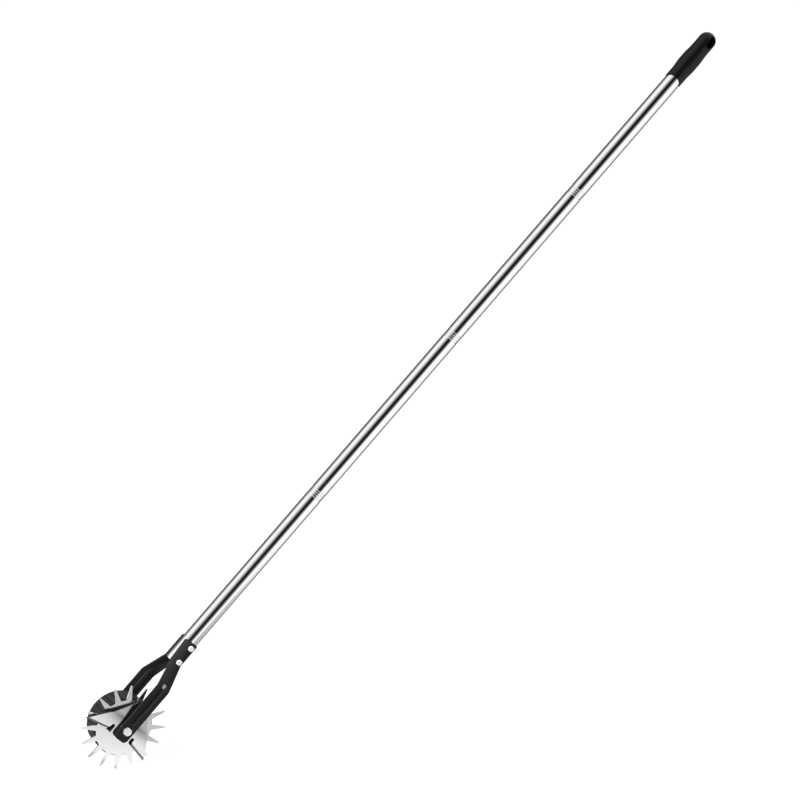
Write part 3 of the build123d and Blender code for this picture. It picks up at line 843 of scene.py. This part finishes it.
@dataclass
class JointedPole(SubAssembly):
    """The four chrome tubes, the sockets and studs that screw them together, and the grip."""

    hang_slot_height: float = 1.3546
    hang_slot_half: Span = (0.0056, 0.0097)
    edge_break: float = 0.0004
    wall_lean: float = 0.2

    def build(self) -> None:
        """Dresses the pole."""
        self.dress(CHROME, "pole_tube_1", "pole_tube_2", "pole_tube_3", "pole_tube_4")
        for kind in ("socket", "stud"):
            self.dress(TURNED_STEEL, *[f"threaded_{kind}_{number}" for number in (1, 2, 3)])
        grip = self.stand_in("hand_grip", self.copied("hand_grip"), PLASTIC, Body.FRAME, self.edge_break)
        # painted shade: the walls of the hang slot get near-black, matt plastic
        self.refinish(grip, PAINTED_SHADE_PLASTIC, [face for face in grip.data.polygons if self.in_hang_slot(face)])

    def in_hang_slot(self, face: bpy.types.MeshPolygon) -> bool:
        """Tells whether a face of the grip is a wall of its hanging slot.

        Args:
            face: the face.

        Returns:
            True for a wall of the slot.
        """
        middle = self.pose.upright @ face.center
        across, along = self.hang_slot_half
        inside = abs(middle.x) < across and abs(middle.z - self.hang_slot_height) < along
        return inside and abs(face.normal.y) < self.wall_lean


@dataclass
class ClampedFork(SubAssembly):
    """The two pressed arms and the bolts that clamp them to the pole."""

    edge_break: float = 0.0003
    rib_half_width: float = 0.0040
    rib_reach: Span = (0.0128, 0.0780)
    rib_draw: float = 0.0010
    rib_crease: float = 0.35
    rib_margin: float = 0.0001
    sliver: float = 3e-5
    # where the painted glint lies on the rib's floor
    glint_height: Span = (0.0840, 0.0905)
    glint_depth: Span = (-0.0285, -0.0255)
    rub_half_width: float = 0.0005
    rub_facing: float = -0.9
    foot_bottom: float = -0.018
    foot_half_width: float = 0.01275
    blank_round: float = 0.0090
    foot_round: float = 0.0071
    corner_share: float = 0.95
    corner_margin: float = 1e-5
    saddle_heights: Span = (0.1200, 0.1643)
    saddle_angles: Span = (18.0, 47.0)
    let_out: Span = (5.0, 18.0)

    def build(self) -> None:
        """Dresses the fork."""
        arms = {}
        for node, facing in (("blade_side_fork_arm", -1.0), ("drum_side_fork_arm", 1.0)):
            bm = self.copied(node)
            self.draw_rib(bm)
            self.square_foot(bm)
            self.let_out_saddle(bm, facing)
            arms[node] = self.stand_in(node, bm, ENAMEL, Body.FRAME, self.edge_break)
        near = arms["blade_side_fork_arm"]
        # painted highlight: the rib's floor above the bend gets pale steel as a glint
        self.refinish(near, PAINTED_GLINT_STEEL, [face for face in near.data.polygons if self.rubbed(face)])
        self.dress(ZINC, "clamp_bolts", "clamp_nuts")

    def rubbed(self, face: bpy.types.MeshPolygon) -> bool:
        """Tells whether a face is the floor of the rib above the bend, where pale steel is laid as a
        painted glint.

        Args:
            face: the face.

        Returns:
            True for the floor with the painted glint.
        """
        upright = self.pose.upright
        middle = upright @ face.center
        outward = upright.to_3x3() @ face.normal
        in_height = self.glint_height[0] < middle.z < self.glint_height[1]
        in_depth = self.glint_depth[0] < middle.y < self.glint_depth[1]
        in_width = abs(middle.x) < self.rub_half_width
        return in_height and in_depth and in_width and outward.y < self.rub_facing

    def square_foot(self, bm: bmesh.types.BMesh) -> None:
        """Gives the corners of an arm's foot a smaller round; its sides and end stay where they are.

        Args:
            bm: the arm's mesh.
        """
        upright = self.pose.upright
        shift = self.blank_round - self.foot_round
        share = self.foot_round / self.blank_round
        across = self.foot_half_width - self.blank_round
        for vert in bm.verts:
            place = upright @ vert.co
            side = math.copysign(1.0, place.x)
            middle = Vector((side * across, place.y, self.foot_bottom + self.blank_round))
            off = place - middle
            outward = off.x * side > -self.corner_margin and off.z < self.corner_margin
            if outward and off.length > self.corner_share * self.blank_round:
                step = Vector((side * shift, 0.0, -shift))
                vert.co = self.pose.matrix @ (middle + step + off * share)

    def let_out_saddle(self, bm: bmesh.types.BMesh, facing: float) -> None:
        """Lets one edge of an arm's saddle further round the pole, most at its top.

        Args:
            bm: the arm's mesh.
            facing: -1 for the arm on the blade's side, 1 for the other, which is the same turned about.
        """
        upright = self.pose.upright
        low, high = self.saddle_heights
        near, edge = self.saddle_angles
        for vert in bm.verts:
            place = upright @ vert.co
            angle = math.degrees(math.atan2(place.x * facing, place.y * facing))
            if place.z > low and angle > near:
                rise = min((place.z - low) / (high - low), 1.0)
                turn = self.let_out[0] + (self.let_out[1] - self.let_out[0]) * rise
                turned = math.radians(angle + turn * min((angle - near) / (edge - near), 1.0))
                reach = math.hypot(place.x, place.y) * facing
                moved = Vector((reach * math.sin(turned), reach * math.cos(turned), place.z))
                vert.co = self.pose.matrix @ moved

    def draw_rib(self, bm: bmesh.types.BMesh) -> None:
        """Rounds the edges of an arm's rib below the bend, as a press draws the sheet.

        Args:
            bm: the arm's mesh.
        """
        upright = self.pose.upright
        chosen = []
        for edge in bm.edges:
            middle = upright @ ((edge.verts[0].co + edge.verts[1].co) / 2)
            on_rib = abs(middle.x) < self.rib_half_width + self.rib_margin
            below_bend = self.rib_reach[0] - self.rib_margin < middle.z < self.rib_reach[1]
            if on_rib and below_bend and edge.calc_face_angle(0.0) > self.rib_crease:
                chosen.append(edge)
        bmesh.ops.bevel(bm, geom=chosen, offset=self.rib_draw, offset_type="OFFSET", affect="EDGES",
                        segments=3, profile=0.5, material=-1, clamp_overlap=False)
        bmesh.ops.remove_doubles(bm, verts=bm.verts, dist=self.sliver)
        bmesh.ops.dissolve_degenerate(bm, dist=self.sliver, edges=bm.edges)


@dataclass
class CuttingPair(SubAssembly):
    """The toothed star and the fixed plate that it shears against."""

    edge_break: float = 0.0002
    ground_facing: Direction = (-0.395, -0.83, -0.395)
    ground_likeness: float = 0.97
    edge_on: float = 0.3
    notch_reach: float = 0.0475
    fold_height: float = 0.0125
    fold_half_length: float = 0.0382
    fold_round: float = 0.0025
    draw_in: Span = (0.0012, 0.0009)

    def build(self) -> None:
        """Dresses the cutting pair."""
        blank = self.copied("star_blade")
        star = self.stand_in("star_blade", blank, BLADE_STEEL, Body.WHEEL, self.edge_break)
        teeth = star.data.polygons
        # painted shade: the notch floors between the teeth get dark steel
        self.refinish(star, PAINTED_SHADE_STEEL, [face for face in teeth if self.in_notch(face)])
        # painted shade: the star's back faces get duller, darker steel
        self.refinish(star, PAINTED_SHADE_BACK_STEEL, [face for face in teeth if face.normal.y > self.edge_on])
        sheet = self.copied("shear_plate")
        self.draw_in_fold(sheet)
        plate = self.stand_in("shear_plate", sheet, PLATE_STEEL, Body.FRAME, self.edge_break)
        faces = plate.data.polygons
        facing = Vector(self.ground_facing).normalized()
        ground = [face for face in faces if face.normal.dot(facing) > self.ground_likeness]
        # painted shade: the plate's back and side faces get dark steel, which the mirror star shows as
        # shade behind the plate
        self.refinish(plate, PAINTED_SHADE_STEEL, [face for face in faces if face.normal.y > -self.edge_on])
        # in part painted shade: the plate's ground cutting edge gets dark grey steel
        self.refinish(plate, GROUND_SHADED_STEEL, ground)
        self.dress(TURNED_STEEL, "star_lock_ring")
        self.dress(ZINC, "plate_washer")

    def draw_in_fold(self, bm: bmesh.types.BMesh) -> None:
        """Draws the plate's sides in at the ends of its fold, as the bending press does.

        Args:
            bm: the plate's mesh.
        """
        upright = self.pose.upright
        for vert in bm.verts:
            place = upright @ vert.co
            at_fold = abs(place.z - self.fold_height) < self.fold_round
            if at_fold and abs(place.x) > self.fold_half_length - self.fold_round:
                place.x -= math.copysign(self.draw_in[0], place.x)
                place.z -= self.draw_in[1]
                vert.co = self.pose.matrix @ place

    def in_notch(self, face: bpy.types.MeshPolygon) -> bool:
        """Tells whether a face of the star is the floor of a notch between its teeth."""
        reach = math.hypot(face.center.x, face.center.z - self.pose.axle_height)
        return reach < self.notch_reach and abs(face.normal.y) < self.edge_on


@dataclass
class RollerDrum(SubAssembly):
    """The ribbed tyre on its nylon core, the bearings inside it and the axle through them."""

    edge_break: float = 0.0003
    shank_radius: float = 0.0060
    head_seat: float = -0.0299
    head_share: float = 0.91

    def build(self) -> None:
        """Dresses the drum, bearings and axle."""
        self.dress(RUBBER, "drum_tyre")
        self.dress(NYLON, "wheel_core")
        for side in ("blade_side", "drum_side"):
            for part in ("inner_race", "outer_race", "shields", "balls", "cage"):
                self.dress(BEARING_STEEL, f"{side}_{part}")
        self.dress(TURNED_STEEL, "blade_side_spacer", "axle_sleeve", "bearing_spacer")
        self.dress(AXLE_ZINC, "axle_nut", "drum_side_spacer")
        bolt = self.copied("axle_bolt")
        self.trim_head(bolt)
        self.stand_in("axle_bolt", bolt, AXLE_ZINC, Body.FRAME, self.edge_break)

    def trim_head(self, bm: bmesh.types.BMesh) -> None:
        """Narrows the head of the axle bolt; its height and the shank stay.

        Args:
            bm: the bolt's mesh.
        """
        for vert in bm.verts:
            across, up = vert.co.x, vert.co.z - self.pose.axle_height
            if vert.co.y < self.head_seat and math.hypot(across, up) > self.shank_radius:
                vert.co.x = across * self.head_share
                vert.co.z = self.pose.axle_height + up * self.head_share


# Studio


@dataclass(frozen=True)
class FloorStrip:
    """A grey strip of floor that runs out from under the tool, for the bright metal to mirror."""

    bearing: float
    fade: Span
    level: float

    def laid(self, graph: NodeGraph, bearing: bpy.types.NodeSocket,
             shade: bpy.types.NodeSocket) -> bpy.types.NodeSocket:
        """Lays the strip over the floor.

        Args:
            graph: the floor's graph.
            bearing: the bearing of each place on the floor, in radians.
            shade: the floor's brightness without the strip.

        Returns:
            The brightness socket with it.
        """
        off_line = graph.math("ABSOLUTE", graph.math("SUBTRACT", bearing, math.radians(self.bearing)))
        fade = tuple(math.radians(degrees) for degrees in self.fade)
        across = graph.ranged(off_line, fade, UNIT_DOWN)
        return graph.between(across, shade, (self.level,) * 3)


@dataclass
class Studio:
    """The floor, the white tent with a dark opening round the camera, and the camera."""

    azimuth: float = -25.543
    elevation: float = 26.25
    roll: float = 1.095
    width: float = 1.2047
    aside: float = 0.42296
    above: float = 0.48572
    distance: float = 12.0
    sensor: float = 36.0
    clip: Span = (0.1, 100.0)
    axle_height: float = AXLE_HEIGHT
    floor_radius: float = 30.0
    floor_sides: int = 64
    floor_drop: float = 0.0002
    floor_grey: Colour = (0.9, 0.9, 0.9)
    floor_glow: float = 1.02
    glow_share: float = 0.95
    card_scale: float = 0.5
    grey_card: Span = (0.22, -0.27)
    card_fall: tuple[Span, ...] = ((0.0, 0.30), (0.05, 0.34), (0.10, 0.54), (0.175, 0.55), (0.20, 0.64),
                                   (0.255, 0.86), (0.32, 1.0))
    small_card: Span = (0.082, -0.078)
    small_card_fall: tuple[Span, ...] = ((0.0, 0.70), (0.015, 0.70), (0.045, 1.0))
    strips: tuple[FloorStrip, ...] = (FloorStrip(6.0, (14.0, 26.0), 0.45),
                                      FloorStrip(90.0, (20.0, 34.0), 0.28),
                                      FloorStrip(-132.0, (18.0, 31.0), 0.55))
    tent_level: float = 1.02
    front_opening: tuple[Span, ...] = ((0.0, 0.002), (9.0, 0.004), (20.0, 0.11), (34.0, 0.42), (49.0, 0.83),
                                       (64.0, 1.0))
    behind: Direction = (-0.2, 0.95, 0.15)
    rear_opening: tuple[Span, ...] = ((0.0, 0.16), (18.0, 0.2), (30.0, 0.5), (50.0, 1.0))
    key_place: Direction = (-1.86, -0.6, 2.38)
    key_aim: Direction = (0.3, 0.0, 0.4)
    key_size: float = 0.6
    key_watts: float = 355.0

    @property
    def back(self) -> Vector:
        """The unit direction from the object to the camera."""
        turn = math.radians(self.azimuth)
        rise = math.radians(self.elevation)
        return Vector((math.sin(turn) * math.cos(rise), -math.cos(turn) * math.cos(rise), math.sin(rise)))

    def camera(self) -> None:
        """Places the long-lens camera at the photograph's angle and framing."""
        data = bpy.data.cameras.new("camera")
        data.sensor_width = self.sensor
        data.lens = data.sensor_width * self.distance / self.width
        data.clip_start, data.clip_end = self.clip
        thing = bpy.data.objects.new("camera", data)
        bpy.context.scene.collection.objects.link(thing)
        rolled = Matrix.Rotation(math.radians(self.roll), 3, "Z").to_quaternion()
        turned = (-self.back).to_track_quat("-Z", "Y") @ rolled
        right = turned @ Vector((1, 0, 0))
        up = turned @ Vector((0, 1, 0))
        aim = Vector((0.0, 0.0, self.axle_height)) + right * self.aside + up * self.above
        thing.rotation_mode = "QUATERNION"
        thing.rotation_quaternion = turned
        thing.location = aim + self.back * self.distance
        bpy.context.scene.camera = thing

    def tent(self) -> None:
        """Makes the white tent with its two dark openings; the camera sees it plain white."""
        world = bpy.data.worlds.new("tent")
        world.use_nodes = True
        world.node_tree.nodes.clear()
        graph = NodeGraph(world.node_tree)
        where = graph.add("ShaderNodeTexCoord").outputs["Generated"]
        front = self.opening(graph, where, self.back, self.front_opening)
        behind = self.opening(graph, where, Vector(self.behind).normalized(), self.rear_opening)
        level = graph.math("MULTIPLY", graph.math("MULTIPLY", front, behind), self.tent_level)
        seen = graph.add("ShaderNodeLightPath").outputs["Is Camera Ray"]
        sky = graph.add("ShaderNodeBackground", Strength=graph.math("MAXIMUM", level, seen))
        graph.add("ShaderNodeOutputWorld", Surface=sky.outputs[0])
        sky.inputs["Color"].default_value = (1.0, 1.0, 1.0, 1.0)
        bpy.context.scene.world = world

    def opening(self, graph: NodeGraph, where: bpy.types.NodeSocket, toward: Vector,
                fall: Sequence[Span]) -> bpy.types.NodeSocket:
        """Shades the tent round one direction.

        Args:
            graph: the world's graph.
            where: the direction looked in.
            toward: the opening's middle.
            fall: degrees from the middle and the brightness there, middle first.

        Returns:
            The brightness socket.
        """
        lean = graph.add("ShaderNodeVectorMath", operation="DOT_PRODUCT", in0=where, in1=tuple(toward))
        angle = graph.math("ARCCOSINE", lean.outputs["Value"])
        return self.ramp(graph, graph.math("MULTIPLY", angle, math.degrees(1.0)), fall, HALF_TURN)

    @staticmethod
    def ramp(graph: NodeGraph, value: bpy.types.NodeSocket, fall: Sequence[Span],
             full: float) -> bpy.types.NodeSocket:
        """Turns a value into a grey by stops.

        Args:
            graph: the tree's graph.
            value: the value.
            fall: values and the greys there, lowest first.
            full: the value at the ramp's far end.

        Returns:
            The grey's socket.
        """
        node = graph.add("ShaderNodeValToRGB", Fac=graph.math("DIVIDE", value, full))
        stops = node.color_ramp.elements
        while len(stops) < len(fall):
            stops.new(0.5)
        for stop, (reach, level) in zip(stops, fall):
            stop.position = reach / full
            stop.color = (level, level, level, 1.0)
        return node.outputs["Color"]

    def card(self, graph: NodeGraph, where: bpy.types.NodeSocket, middle: Span,
             fall: Sequence[Span]) -> bpy.types.NodeSocket:
        """Shades the floor round one point.

        Args:
            graph: the floor's graph.
            where: the place on the floor.
            middle: the card's middle.
            fall: metres from the middle and the brightness there, middle first.

        Returns:
            The brightness socket.
        """
        reach = graph.add("ShaderNodeVectorMath", operation="DISTANCE", in0=where, in1=(*middle, 0.0))
        return self.ramp(graph, reach.outputs["Value"], fall, self.card_scale)

    def floor(self) -> None:
        """Lays the pale floor: near white to the camera, with grey cards that the metal reflects."""
        bm = bmesh.new()
        bmesh.ops.create_circle(bm, cap_ends=True, segments=self.floor_sides, radius=self.floor_radius)
        mesh = bpy.data.meshes.new("floor")
        bm.to_mesh(mesh)
        bm.free()
        paint = bpy.data.materials.new("pale_floor")
        paint.use_nodes = True
        paint.node_tree.nodes.clear()
        graph = NodeGraph(paint.node_tree)
        where = graph.add("ShaderNodeTexCoord").outputs["Object"]
        large_card = self.card(graph, where, self.grey_card, self.card_fall)
        small_card = self.card(graph, where, self.small_card, self.small_card_fall)
        split = graph.add("ShaderNodeSeparateXYZ", Vector=where)
        bearing = graph.math("ARCTAN2", split.outputs["Y"], split.outputs["X"])
        shade = graph.math("MULTIPLY", large_card, small_card)
        for strip in self.strips:
            shade = strip.laid(graph, bearing, shade)
        matt = graph.add("ShaderNodeBsdfDiffuse", Color=(*self.floor_grey, 1.0))
        glow = graph.add("ShaderNodeEmission", Color=(1.0, 1.0, 1.0, 1.0), Strength=self.floor_glow)
        cards = graph.add("ShaderNodeEmission", Color=shade, Strength=self.floor_glow)
        plain = graph.add("ShaderNodeMixShader", in0=self.glow_share, in1=matt.outputs[0],
                          in2=glow.outputs[0])
        seen = graph.add("ShaderNodeLightPath").outputs["Is Camera Ray"]
        mixed = graph.add("ShaderNodeMixShader", in0=seen, in1=cards.outputs[0], in2=plain.outputs[0])
        graph.add("ShaderNodeOutputMaterial", Surface=mixed.outputs[0])
        mesh.materials.append(paint)
        thing = bpy.data.objects.new("floor", mesh)
        thing.location = (0.0, 0.0, -self.floor_drop)
        bpy.context.scene.collection.objects.link(thing)

    def softbox(self) -> None:
        """Hangs a square soft light that looks at the tool and that its bright metal doesn't mirror."""
        data = bpy.data.lights.new("key_softbox", "AREA")
        data.size = self.key_size
        data.energy = self.key_watts
        thing = bpy.data.objects.new("key_softbox", data)
        thing.location = self.key_place
        thing.rotation_mode = "QUATERNION"
        thing.rotation_quaternion = (Vector(self.key_aim) - Vector(self.key_place)).to_track_quat("-Z", "Y")
        thing.visible_glossy = False
        bpy.context.scene.collection.objects.link(thing)

    def build(self) -> None:
        """Sets up floor, light and camera."""
        self.floor()
        self.tent()
        self.softbox()
        self.camera()
        bpy.context.scene.view_settings.view_transform = "Standard"
        LOG.info("studio set")


def main() -> None:
    """Builds the studio and every sub-assembly."""
    logging.basicConfig(level=logging.INFO, format="%(name)s: %(message)s")
    for part in (Studio(), JointedPole(), ClampedFork(), CuttingPair(), RollerDrum()):
        part.build()


if __name__ == "__main__":
    main()
